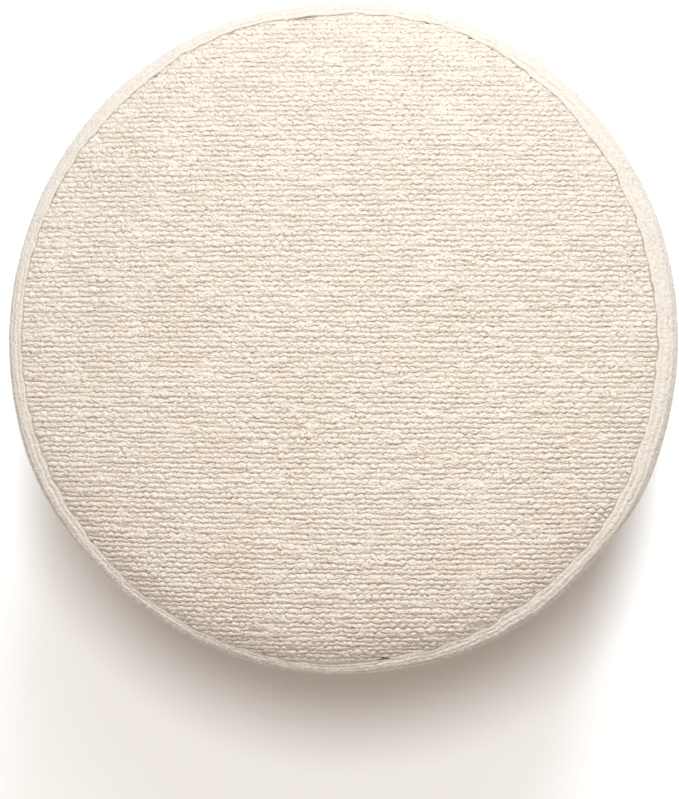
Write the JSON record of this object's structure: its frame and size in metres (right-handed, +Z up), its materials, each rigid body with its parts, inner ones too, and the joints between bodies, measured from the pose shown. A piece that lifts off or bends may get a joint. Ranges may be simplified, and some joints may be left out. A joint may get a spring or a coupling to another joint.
{
  "type": "round upholstered ottoman",
  "caption": "Round padded ottoman: a drum in cream looped cloth, with a crowned top panel sewn to a side band, standing on a flat base.",
  "frame": {"origin": "middle of the base, on the floor", "axes": "+Z up; the yarns of the top panel run along X"},
  "size_m": [0.4904, 0.4914, 0.42],
  "materials": {
    "looped_cloth": "matt cream boucle: looped yarns in straight rows, with a soft fuzz",
    "base_cloth": "matt plain-woven cream cloth"
  },
  "bodies": {
    "root": {"side_band": "looped_cloth", "top_panel": "looped_cloth", "base_panel": "base_cloth"}
  },
  "joints": []
}
